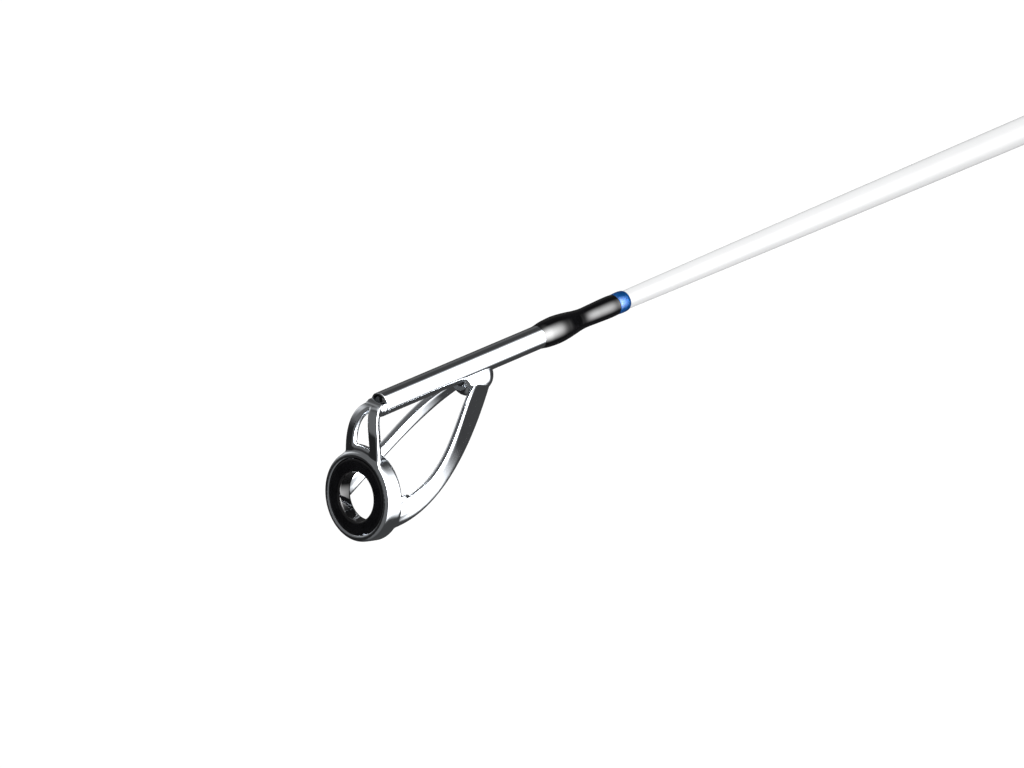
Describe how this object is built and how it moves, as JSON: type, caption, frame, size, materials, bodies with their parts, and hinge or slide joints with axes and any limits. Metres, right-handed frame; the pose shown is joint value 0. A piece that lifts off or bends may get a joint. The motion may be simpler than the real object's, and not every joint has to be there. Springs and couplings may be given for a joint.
{
  "type": "ultralight spinning rod",
  "caption": "Slim two-piece fishing rod with cork split grips, a screw-down reel seat, ceramic-ringed line guides and a stainless tip-top on a white blank.",
  "frame": {"origin": "centre of the butt cap's flat end", "axes": "+X along the rod towards its tip, -Z towards the reel and the line guides"},
  "size_m": [1.5276, 0.0244, 0.0482],
  "materials": {
    "white_blank": "gloss clear-coated",
    "black_thread": "thread under glossy epoxy",
    "blue_band": "metallic thread under glossy epoxy",
    "stainless": "polished stainless steel",
    "black_ceramic": "polished",
    "cork": "sanded cork",
    "rubber": "matte",
    "blue_anodised": "anodised",
    "graphite": "satin graphite-filled nylon",
    "foam": "matte, hidden inside the seat"
  },
  "bodies": {
    "butt_section": {"butt_blank": "white_blank", "butt_cap": "rubber", "butt_stop_wrap": "black_thread", "cap_trim_ring": "blue_anodised", "collar_check": "blue_anodised", "collar_grip": "cork", "fixed_hood": "stainless", "fixed_hood_pad": "rubber", "fore_grip": "cork", "hook_keeper": "stainless", "keeper_wrap_front": "black_thread", "keeper_wrap_rear": "black_thread", "rear_grip": "cork", "rear_grip_check": "blue_anodised", "reel_seat_body": "graphite", "seat_arbor_front": "foam", "seat_arbor_rear": "foam", "stripper_frame": "stainless", "stripper_ring": "black_ceramic", "stripper_trim_front": "blue_band", "stripper_trim_rear": "blue_band", "stripper_wrap_front": "black_thread", "stripper_wrap_rear": "black_thread", "winding_check": "blue_anodised"},
    "movable_hood": {"movable_hood": "stainless", "movable_hood_pad": "rubber"},
    "lock_nut": {"lock_nut": "graphite"},
    "tip_section": {"ferrule_sleeve": "white_blank", "ferrule_trim_band": "blue_band", "ferrule_wrap": "black_thread", "guide_12_frame": "stainless", "guide_12_ring": "black_ceramic", "guide_12_trim_front": "blue_band", "guide_12_trim_rear": "blue_band", "guide_12_wrap_front": "black_thread", "guide_12_wrap_rear": "black_thread", "guide_6_frame": "stainless", "guide_6_ring": "black_ceramic", "guide_6_trim": "blue_band", "guide_6_wrap": "black_thread", "guide_7_frame": "stainless", "guide_7_ring": "black_ceramic", "guide_7_trim": "blue_band", "guide_7_wrap": "black_thread", "guide_8_frame": "stainless", "guide_8_ring": "black_ceramic", "guide_8_trim": "blue_band", "guide_8_wrap": "black_thread", "sleeve_top_wrap": "black_thread", "tip_blank": "white_blank", "tip_frame": "stainless", "tip_ring": "black_ceramic", "tip_trim_band": "blue_band", "tip_tube": "stainless", "tip_wrap": "black_thread"}
  },
  "joints": [
    {"name": "hood_slide", "type": "slide", "parent": "butt_section", "child": "movable_hood", "axis": [1, 0, 0], "range_m": [-0.008, 0.022]},
    {"name": "lock_nut_turn", "type": "hinge", "parent": "movable_hood", "child": "lock_nut", "pos_m": [0.1922, 0, 0], "axis": [1, 0, 0], "range_deg": [-1440, 3960]},
    {"name": "ferrule_slide", "type": "slide", "parent": "butt_section", "child": "tip_section", "axis": [1, 0, 0], "range_m": [0, 0.045]}
  ],
  "couplings": [
    {"joint": "hood_slide", "follows": "lock_nut_turn", "m_per_rad": 0.0003183}
  ]
}
